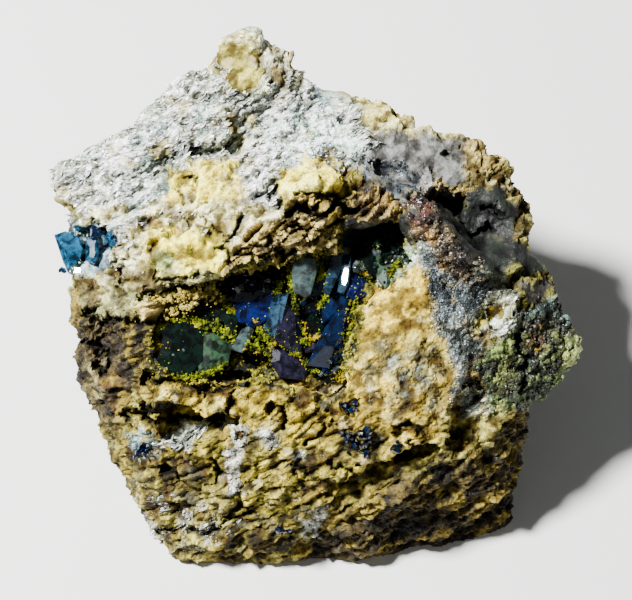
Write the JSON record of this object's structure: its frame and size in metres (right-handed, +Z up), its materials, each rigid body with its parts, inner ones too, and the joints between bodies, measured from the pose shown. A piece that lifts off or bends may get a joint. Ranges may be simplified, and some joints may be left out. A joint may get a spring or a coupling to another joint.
{
  "type": "mineral specimen",
  "caption": "Scorodite specimen: deep blue glassy crystals in a vug of rusty, silvery and green weathered ore, resting on a flat face.",
  "frame": {"origin": "middle of the bounding box in plan, on the flat face that the rock rests on", "axes": "+Z up, +X across the open face with the vug, which leans back and looks towards -Y and up"},
  "size_m": [0.0692, 0.0635, 0.0362],
  "materials": {
    "weathered_ore": "rough, earthy, with silvery mica and rusty limonite",
    "scorodite": "vitreous, deep blue, see-through at thin edges"
  },
  "bodies": {
    "root": {"matrix": "weathered_ore", "vug_crystals": "scorodite", "edge_crystals": "scorodite"}
  },
  "joints": []
}
